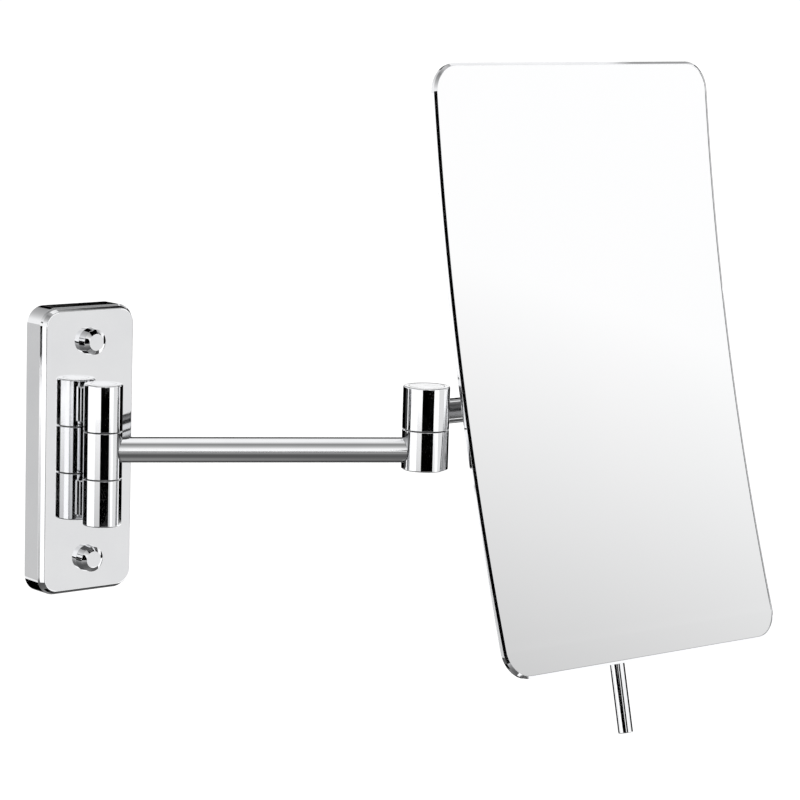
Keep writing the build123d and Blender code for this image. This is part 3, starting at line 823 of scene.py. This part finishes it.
def upper_elbow():
    """Upper elbow cylinder: bored for the bush, hollow above for nut and cap, drilled for the neck."""
    barrel = post(ELBOW_R, ELBOW_UPPER_LOW_Z, ELBOW_TOP_Z, SPLIT_EDGE_R, ELBOW_END_EDGE_R)
    bore = turned([
        (0, ELBOW_UPPER_LOW_Z - PAST), (NECK_BUSH_BORE_R, ELBOW_UPPER_LOW_Z - PAST),
        (NECK_BUSH_BORE_R, CUP_FLOOR_Z), (PLUG_R + FIT_GAP, CUP_FLOOR_Z),
        (PLUG_R + FIT_GAP, ELBOW_TOP_Z + PAST), (0, ELBOW_TOP_Z + PAST),
    ])
    return cut(barrel, bore, bar_along(NECK_SCREWED_R + FIT_GAP, 0, ELBOW_R + PAST, NECK_Z))


def neck():
    """Neck rod: screwed into the elbow, at full size to a bevelled shoulder, and then the journal."""
    sections = [
        (NECK_SCREWED_R, [NECK_BUSH_BORE_R + FIT_GAP] * ROUND),
        (NECK_SCREWED_R, saddle(NECK_SCREWED_R, ELBOW_R + FACE_GAP)),
        (TUBE_R, saddle(TUBE_R, ELBOW_R + FACE_GAP)),
        (TUBE_R, [NECK_SHOULDER - SHOULDER_EDGE] * ROUND),
        (TUBE_R - SHOULDER_EDGE_STEP, [NECK_SHOULDER - SHOULDER_EDGE_STEP] * ROUND),
        (TUBE_R - SHOULDER_EDGE, [NECK_SHOULDER] * ROUND),
        (JOURNAL_R, [NECK_SHOULDER] * ROUND),
        (JOURNAL_R, [JOURNAL_END] * ROUND),
    ]
    return stacked([tube_ring(radius, ends, NECK_Z) for radius, ends in sections])


def end_screw():
    """Button-headed screw in the neck's end, with a six-sided socket."""
    seat = high("neck_end_washer", X) - joint_at["elbow_turn"].x / MM
    end = seat - END_SCREW_L
    top = seat + END_SCREW_HEAD_H
    screw = turned(rounded(
        [
            (0, end, 0),
            (END_SCREW_R, end, 0.3),
            (END_SCREW_R, seat, 0),
            (END_SCREW_HEAD_R, seat, 0.1),
            (END_SCREW_HEAD_R, top, 1.3),
            (0, top, 0),
        ]
    ))
    cut(screw, socket(END_SOCKET_R, top + PAST, top - END_SOCKET_DEPTH))
    screw.data.transform(Matrix.Translation((0, 0, NECK_Z)) @ ALONG_X)
    return screw


def make_neck_body():
    piece(upper_elbow(), "elbow_upper_barrel", "neck", NECK, CHROME, "polished_chrome", "elbow_upper")
    cap = post(PLUG_R, ELBOW_TOP_Z - PLUG_T, ELBOW_TOP_Z, end_edge=0.25)
    piece(cap, "elbow_cap_disc", "neck", NECK, CHROME, "polished_chrome", "elbow_top_cap")
    piece(neck(), "neck_rod_polished", "neck", NECK, TUBE_CHROME, "polished_chrome", "neck_rod")
    piece(end_screw(), "neck_button_screw", "neck", NECK, STEEL, "plain_steel", "neck_end_screw")


# ---------------------------------------------------------------- mirror head body


def behind(z, depth):
    """Local Y of a point of the bent panel at a height and a depth behind the reflecting face."""
    return sqrt((BEND_R + depth) ** 2 - z**2) - BEND_R


def rim():
    """Rim with a bevelled lip over the glass: the bevel is what outlines the mirror."""
    section = rounded(
        [
            (0, RIM_DEPTH, 0.15),
            (0, RIM_BEVEL_DROP - RIM_PROUD, 0.1),
            (RIM_BEVEL, -RIM_PROUD, 0.06),
            (RIM_LIP, -RIM_PROUD, 0.06),
            (RIM_LIP, 0, 0),
            (RIM_WALL, 0, 0),
            (RIM_WALL, RIM_DEPTH, 0.05),
        ],
        closed=True,
        steps=3,
    )
    rings = []
    for inset, depth in section:
        width = MIRROR_W - 2 * inset
        height = MIRROR_H - 2 * inset
        flat = rectangle_ring(width, height, MIRROR_CORNER_R - inset, 20, SIDE_STEPS)
        rings.append([(x, behind(z, depth), z) for x, z in flat])
    return stacked(rings, closed=True)


def bent_sheet(near, far, width, height, corner, middle_z=0.0, side_steps=SIDE_STEPS):
    """Sheet of the bent panel between two depths, with round corners, as an even grid of faces."""
    rows = []
    columns = 8
    corner_steps = 14
    straight = height - 2 * corner
    for step in range(corner_steps + 1):
        angle = pi / 2 * step / corner_steps
        rows.append((height / 2 - corner + corner * cos(angle), width / 2 - corner + corner * sin(angle)))
    for step in range(1, side_steps):
        rows.append((height / 2 - corner - straight * step / side_steps, width / 2))
    rows += [(-z, half) for z, half in reversed(rows[: corner_steps + 1])]
    points = []
    faces = []
    across = columns + 1
    for depth in (near, far):
        for row_z, half in rows:
            z = middle_z + row_z
            for column in range(across):
                points.append((half * (2 * column / columns - 1), behind(z, depth), z))
    back = len(rows) * across
    for row in range(len(rows) - 1):
        for column in range(columns):
            first = row * across + column
            face = [first, first + 1, first + across + 1, first + across]
            faces.append(face)
            faces.append([back + number for number in reversed(face)])
    outline = [row * across for row in range(len(rows))]
    last_row = (len(rows) - 1) * across
    outline += [last_row + column for column in range(1, across)]
    outline += [row * across + columns for row in reversed(range(len(rows) - 1))]
    outline += [column for column in reversed(range(1, columns))]
    for index, number in enumerate(outline):
        after = outline[(index + 1) % len(outline)]
        faces.append([number, after, back + after, back + number])
    return solid("sheet", points, faces)


def rivet_frames():
    """Frame of each rivet on the panel, square to the bend, its Z axis pointing backwards."""
    frames = []
    backwards = Matrix.Rotation(radians(-90), 4, "X")
    for x in (-RIVET_X, RIVET_X):
        for z in (-MIRROR_RISE - RIVET_Z, -MIRROR_RISE + RIVET_Z):
            turn = Matrix.Rotation(asin(z / BEND_R), 4, "X")
            frames.append(Matrix.Translation((x, behind(z, 0), z)) @ turn @ backwards)
    return frames


def rivet(place):
    """Rivet with a domed head behind the bracket and a thin head inside the panel."""
    inner_front = GLASS_T + 2 * FIT_GAP
    inner_back = GLASS_T + PAD_T - FIT_GAP
    seat = PANEL_T + BRACKET_T + FIT_GAP
    dome = [
        (RIVET_HEAD_R * cos(radians(angle)), seat + RIVET_HEAD_H * sin(radians(angle)))
        for angle in range(0, 85, 9)
    ]
    outline = [(0, inner_front), (RIVET_HEAD_R, inner_front), (RIVET_HEAD_R, inner_back)]
    outline += [(RIVET_R, inner_back), (RIVET_R, seat), *dome, (0, seat + RIVET_HEAD_H)]
    return turned(outline, place, count=SMALL_ROUND)


def bracket_sheet(near, far, width, height):
    """Sheet along the panel's bend, level with the bracket, in the frame of the head."""
    sheet = bent_sheet(near, far, width, height, BRACKET_CORNER_R, -MIRROR_RISE, side_steps=12)
    sheet.data.transform(PANEL_IN_HEAD)
    return sheet


def bracket():
    """Polished casting: its foot, rib, sleeve and bosses run into each other with soft fillets."""
    front = PANEL_T + FIT_GAP
    foot = bracket_sheet(front, PANEL_T + BRACKET_T, BRACKET_W, BRACKET_H)
    foot_back = PANEL_T + BRACKET_T - MIRROR_AHEAD
    rib = box(
        (RIB_W, PAST - foot_back, RIB_TOP_Z - RIB_LOW_Z),
        (0, (foot_back - PAST) / 2, (RIB_TOP_Z + RIB_LOW_Z) / 2),
    )
    sleeve = bar_along(SLEEVE_R, -SLEEVE_HALF, SLEEVE_HALF, 0, CAST_EDGE)
    boss = post(BOSS_R, BOSS_END_Z, 0, CAST_EDGE, CAST_EDGE)
    clamp_boss = across_wall(CLAMP_BOSS_R, -CLAMP_BOSS_END, 0, 0)
    body = united(foot, rib, sleeve, boss, clamp_boss)
    remesh = body.modifiers.new("cast", "REMESH")
    remesh.mode = "VOXEL"
    remesh.voxel_size = 0.4
    soften = body.modifiers.new("soften", "SMOOTH")
    soften.factor = 0.5
    soften.iterations = 5
    apply_modifiers(body)
    cutters = [
        bracket_sheet(front - FLAT_CUTTER_T, front, 2 * BRACKET_W, 2 * BRACKET_H),
        bar_along(NECK_BUSH_BORE_R, -SLEEVE_HALF - PAST, SLEEVE_HALF + PAST, 0),
        across_wall(CLAMP_BORE_R, -CLAMP_BOSS_END - PAST, 0, 0),
        post(HANDLE_SCREWED_R + FIT_GAP, BOSS_END_Z - PAST, BOSS_END_Z + HANDLE_SCREWED_L + FIT_GAP),
    ]
    return cut(body, *cutters)


def handle():
    """Handle: flat-cut end with a fine bevel, plain rod, reduced end screwed into the boss."""
    full_top = BOSS_END_Z - COLLAR_H
    return turned(rounded(
        [
            (0, HANDLE_END_Z, 0),
            (HANDLE_R, HANDLE_END_Z, 0.3),
            (HANDLE_R, full_top, 0.15),
            (HANDLE_SCREWED_R, full_top, 0),
            (HANDLE_SCREWED_R, BOSS_END_Z + HANDLE_SCREWED_L, 0.3),
            (0, BOSS_END_Z + HANDLE_SCREWED_L, 0),
        ]
    ))


def collar():
    """Round lock nut under the boss, with a fine groove round its middle."""
    start = BOSS_END_Z - COLLAR_H
    middle = start + COLLAR_H / 2
    bore = HANDLE_SCREWED_R + FIT_GAP
    return turned(rounded(
        [
            (bore, start, 0.1),
            (COLLAR_R, start, 0.3),
            (COLLAR_R, middle - GROOVE_HALF, 0.05),
            (COLLAR_R - GROOVE_DEPTH, middle, 0.05),
            (COLLAR_R, middle + GROOVE_HALF, 0.05),
            (COLLAR_R, BOSS_END_Z, 0.3),
            (bore, BOSS_END_Z, 0.1),
        ],
        closed=True,
    ), closed=True)


def make_head_body():
    piece(rim(), "mirror_rim_bevelled", "mirror_head", PANEL, RIM_CHROME, "polished_chrome", "mirror_rim")
    sheet_w = MIRROR_W - 2 * SHEET_INSET
    sheet_h = MIRROR_H - 2 * SHEET_INSET
    sheet_corner = MIRROR_CORNER_R - SHEET_INSET
    glass = bent_sheet(FACE_GAP, GLASS_T, sheet_w, sheet_h, sheet_corner)
    piece(glass, "mirror_glass_silvered", "mirror_head", PANEL, SILVER, "mirror_face", "mirror_glass")
    back = bent_sheet(GLASS_T + PAD_T + FACE_GAP, PANEL_T, sheet_w, sheet_h, sheet_corner)
    piece(back, "mirror_back_brushed", "mirror_head", PANEL, SATIN, "satin_steel", "mirror_back")
    rivets = gathered([rivet(place) for place in rivet_frames()])
    piece(rivets, "domed_rivets", "mirror_head", PANEL, STEEL, "plain_steel", "bracket_rivets")
    piece(bracket(), "tilt_bracket_cast", "mirror_head", HEAD, CHROME, "polished_chrome", "tilt_bracket")
    piece(handle(), "handle_rod_polished", "mirror_head", HEAD, TUBE_CHROME, "polished_chrome", "handle_rod")
    piece(collar(), "handle_lock_collar", "mirror_head", HEAD, CHROME, "polished_chrome", "handle_collar")


# ---------------------------------------------------------------- camera and studio

# Metres and degrees, with the lens in millimetres. Azimuths are counted from -Y towards +X.

VIEW_AZIMUTH = -39.79
VIEW_ELEVATION = 8.4395
VIEW_ROLL = 1.5909
VIEW_DISTANCE = 1.1
VIEW_LENS = 139.48
AIM = Vector((0.10148, -0.05616, 0.01606))
FLOOR_Z = -0.35
MAT_Z = FLOOR_Z + 0.004
OVER_MAT_Z = FLOOR_Z + 0.006

NEAR_FLAG_R = 0.563
FLAG_R = 1.6
BACK_FLAG_R = 1.7
FAR_FLAG_R = 6.0
FADING_CARD_R = 8.0
STRIP_DEGREES = 10
SECTOR_DEGREES = 8

# Brightness of the fading card by height, of the mat by distance and of the sky by elevation.
CARD_LIGHT = ((1.0, 1.02), (1.62, 1.0), (1.9, 0.81), (2.25, 0.57), (2.9, 0.48), (4.5, 0.42))
MAT_LIGHT = (
    (0.35, 0.26), (0.4, 0.12), (0.5, 0.09), (0.72, 0.16), (1.0, 0.29), (1.45, 0.5), (2.03, 0.8), (2.35, 1.0)
)
SKY_LIGHT = (
    (0, 1.02), (14, 1.02), (18, 0.96), (25, 0.76), (32, 0.58), (44, 0.38), (58, 0.25), (67, 0.42),
    (76, 0.75), (84, 0.95), (90, 1.0),
)


def direction(azimuth, elevation):
    """Unit vector from the object towards an azimuth and an elevation."""
    around = radians(azimuth)
    above = radians(elevation)
    return Vector((sin(around) * cos(above), -cos(around) * cos(above), sin(above)))


def make_camera():
    data = bpy.data.cameras.new("camera")
    data.lens = VIEW_LENS
    camera = linked("camera", data)
    back = direction(VIEW_AZIMUTH, VIEW_ELEVATION)
    level = Vector((-back.y, back.x, 0)).normalized()
    turn = Matrix.Rotation(radians(VIEW_ROLL), 4, back)
    right = turn @ level
    up = turn @ back.cross(level)
    facing = Matrix((right, up, back)).transposed().to_4x4()
    camera.matrix_world = Matrix.Translation(AIM + back * VIEW_DISTANCE) @ facing
    bpy.context.scene.camera = camera


def glowing(name, strength):
    """New material with its shader and its node tree, that glows white and reflects nothing."""
    material, shader, tree = made(name)
    shader.inputs["Base Color"].default_value = (0, 0, 0, 1)
    shader.inputs["Specular IOR Level"].default_value = 0.0
    shader.inputs["Emission Color"].default_value = (1, 1, 1, 1)
    shader.inputs["Emission Strength"].default_value = strength
    return material, shader, tree


def glow(name, strength):
    """Evenly glowing studio surface."""
    return glowing(name, strength)[0]


def staged(name, points, faces, material):
    """Studio surface that isn't part of the object."""
    mesh = bpy.data.meshes.new(name)
    mesh.from_pydata(points, [], faces)
    mesh.materials.append(material)
    obj = linked(name, mesh)
    return obj


def only_in_reflections(obj):
    """Flags and cards shape what the metal reflects, and are seen nowhere else."""
    obj.visible_camera = False
    obj.visible_shadow = False
    obj.visible_diffuse = False


def upright_card(name, start, end, distance, bottom, top, material):
    """Curved upright card between two azimuths round the object, made of flat strips."""
    strips = ceil((end - start) / STRIP_DEGREES)
    points = []
    for index in range(strips + 1):
        foot = direction(start + (end - start) * index / strips, 0) * distance
        points += [foot + Vector((0, 0, bottom)), foot + Vector((0, 0, top))]
    faces = [[2 * index, 2 * index + 2, 2 * index + 3, 2 * index + 1] for index in range(strips)]
    only_in_reflections(staged(name, points, faces, material))


def floor_sector(name, start, end, radius, height, material):
    """Sector of a disc lying on the floor round the object's middle."""
    steps = ceil((end - start) / SECTOR_DEGREES)
    rim = [direction(start + (end - start) * step / steps, 0) * radius for step in range(steps + 1)]
    points = [Vector((0, 0, height))] + [point + Vector((0, 0, height)) for point in rim]
    faces = [[0, step + 1, step + 2] for step in range(steps)]
    only_in_reflections(staged(name, points, faces, material))


def brightness_ramp(tree, value, stops):
    """Colour ramp from stops of (value, brightness), between the first value and the last."""
    first = stops[0][0]
    last = stops[-1][0]
    scaled = tree.nodes.new("ShaderNodeMapRange")
    scaled.inputs["From Min"].default_value = first
    scaled.inputs["From Max"].default_value = last
    ramp = tree.nodes.new("ShaderNodeValToRGB")
    elements = ramp.color_ramp.elements
    while len(elements) < len(stops):
        elements.new(0.5)
    for element, (place, brightness) in zip(elements, stops):
        element.position = (place - first) / (last - first)
        element.color = (brightness, brightness, brightness, 1)
    tree.links.new(value, scaled.inputs["Value"])
    tree.links.new(scaled.outputs["Result"], ramp.inputs["Fac"])
    return ramp.outputs["Color"]


def fading(name, stops, part):
    """Glowing surface whose light changes with its height, or with the distance from the middle."""
    material, shader, tree = glowing(name, 1.0)
    coordinates = tree.nodes.new("ShaderNodeTexCoord")
    if part == "height":
        split = tree.nodes.new("ShaderNodeSeparateXYZ")
        tree.links.new(coordinates.outputs["Object"], split.inputs["Vector"])
        value = split.outputs["Z"]
    else:
        length = tree.nodes.new("ShaderNodeVectorMath")
        length.operation = "LENGTH"
        tree.links.new(coordinates.outputs["Object"], length.inputs[0])
        value = length.outputs["Value"]
    tree.links.new(brightness_ramp(tree, value, stops), shader.inputs["Emission Color"])
    return material


def height_at(distance, elevation):
    """Height of a point at a distance and an elevation above the object's middle."""
    return distance * tan(radians(elevation))


def make_floor():
    """Pale floor that the camera sees."""
    material, shader, tree = made("pale_floor")
    pale = tinted(tree, noise(tree, 3.0), (0.93, 0.93, 0.93), (0.95, 0.95, 0.95))
    tree.links.new(pale, shader.inputs["Base Color"])
    shader.inputs["Roughness"].default_value = 0.7
    shader.inputs["Emission Color"].default_value = (1, 1, 1, 1)
    shader.inputs["Emission Strength"].default_value = 0.62
    side = 12.0
    corners = [(x, y, FLOOR_Z) for x, y in ((-side, -side), (side, -side), (side, side), (-side, side))]
    staged("floor", corners, [[0, 1, 2, 3]], material)


def make_flags():
    """Black and dark flags: the dark bands and lines in the chrome are their reflections."""
    black = glow("black_flag", 0.0)
    # Name, azimuth from and to, distance, bottom, top.
    flags = (
        ("flag_near_left", -46.6, -36.5, NEAR_FLAG_R, -0.2, 0),
        ("flag_by_camera", -45, -26, FLAG_R, FLOOR_Z, height_at(FLAG_R, 18)),
        ("flag_by_camera_low", -26, -20.5, FLAG_R, FLOOR_Z, -0.15),
        ("flag_low_front", -20.5, 3, FLAG_R, FLOOR_Z, height_at(FLAG_R, -5)),
        ("flag_low_behind", 78, 204, BACK_FLAG_R, FLOOR_Z, height_at(BACK_FLAG_R, -2)),
        ("flag_far_behind", 92, 204, FAR_FLAG_R, FLOOR_Z, 0.83),
        ("flag_right_edge", 98, 122, BACK_FLAG_R, height_at(BACK_FLAG_R, 3), height_at(BACK_FLAG_R, 24)),
        ("flag_behind", 126, 160, BACK_FLAG_R, height_at(BACK_FLAG_R, 14), height_at(BACK_FLAG_R, 40)),
        ("flag_high_front", -5, 60, FLAG_R, height_at(FLAG_R, 33), height_at(FLAG_R, 52)),
        ("flag_for_handle_left", -88, -45, FLAG_R, -0.185, 0.05),
        ("flag_for_handle_right", -17, 5, FLAG_R, 0.04, 0.26),
        ("flag_for_handle_edge", 62, 80, BACK_FLAG_R, -0.2, 0),
    )
    for name, start, end, distance, bottom, top in flags:
        upright_card(name, start, end, distance, bottom, top, black)
    floor_sector("flag_below_handle", 158, 206, 0.8, OVER_MAT_Z, black)

    left, right, low_edge, high_edge = 0.029, 0.062, -0.021, 0.011
    outline = ((left, low_edge), (right, low_edge), (right, high_edge), (left, high_edge))
    corners = [(x, 0.005, z) for x, z in outline]
    only_in_reflections(staged("flag_beside_plate", corners, [[0, 1, 2, 3]], glow("dark_flag", 0.05)))


def make_cards():
    """Bright cards and the dark mat, which grade what the chrome and the glass reflect."""
    floor_sector("card_above_behind", 70, 190, 1.5, 1.5, glow("white_card", 1.0))
    low_card_r = 1.2
    low_card_top = height_at(low_card_r, -2)
    upright_card("card_low_right", 28, 58, low_card_r, FLOOR_Z, low_card_top, glow("grey_card", 0.8))
    upright_card("card_left", -144, -126, 0.15, -0.2, 0.05, glow("darker_card", 0.65))
    low_end = CARD_LIGHT[0][0]
    high_end = CARD_LIGHT[-1][0]
    fading_card = fading("fading_card", CARD_LIGHT, "height")
    upright_card("card_right", 20, 72, FADING_CARD_R, low_end, high_end, fading_card)
    mat = fading("dark_mat", MAT_LIGHT, "distance")
    floor_sector("mat", -80, 14, 2.3, MAT_Z, mat)
    floor_sector("mat_below", 14, 280, 0.45, MAT_Z, mat)


def make_world():
    """White for the camera, and for the rest a sky that is darkest at 58 degrees up."""
    world = bpy.data.worlds.new("studio")
    bpy.context.scene.world = world
    world.use_nodes = True
    tree = world.node_tree
    background = tree.nodes["Background"]
    coordinates = tree.nodes.new("ShaderNodeTexCoord")
    parts = tree.nodes.new("ShaderNodeSeparateXYZ")
    stops = [(sin(radians(angle)), brightness) for angle, brightness in SKY_LIGHT]
    white = tree.nodes.new("ShaderNodeBackground")
    white.inputs["Color"].default_value = (1.05, 1.05, 1.05, 1)
    path = tree.nodes.new("ShaderNodeLightPath")
    mix = tree.nodes.new("ShaderNodeMixShader")
    tree.links.new(coordinates.outputs["Generated"], parts.inputs["Vector"])
    tree.links.new(brightness_ramp(tree, parts.outputs["Z"], stops), background.inputs["Color"])
    tree.links.new(path.outputs["Is Camera Ray"], mix.inputs["Fac"])
    tree.links.new(background.outputs["Background"], mix.inputs[1])
    tree.links.new(white.outputs["Background"], mix.inputs[2])
    tree.links.new(mix.outputs["Shader"], tree.nodes["World Output"].inputs["Surface"])
    bpy.context.scene.view_settings.view_transform = "Standard"


make_camera()
make_floor()
make_flags()
make_cards()
make_world()
make_wall_body()
make_arm_body()
make_neck_body()
make_head_body()
for node_name, finish in NODE_FINISH.items():
    dress(node_name, finish)
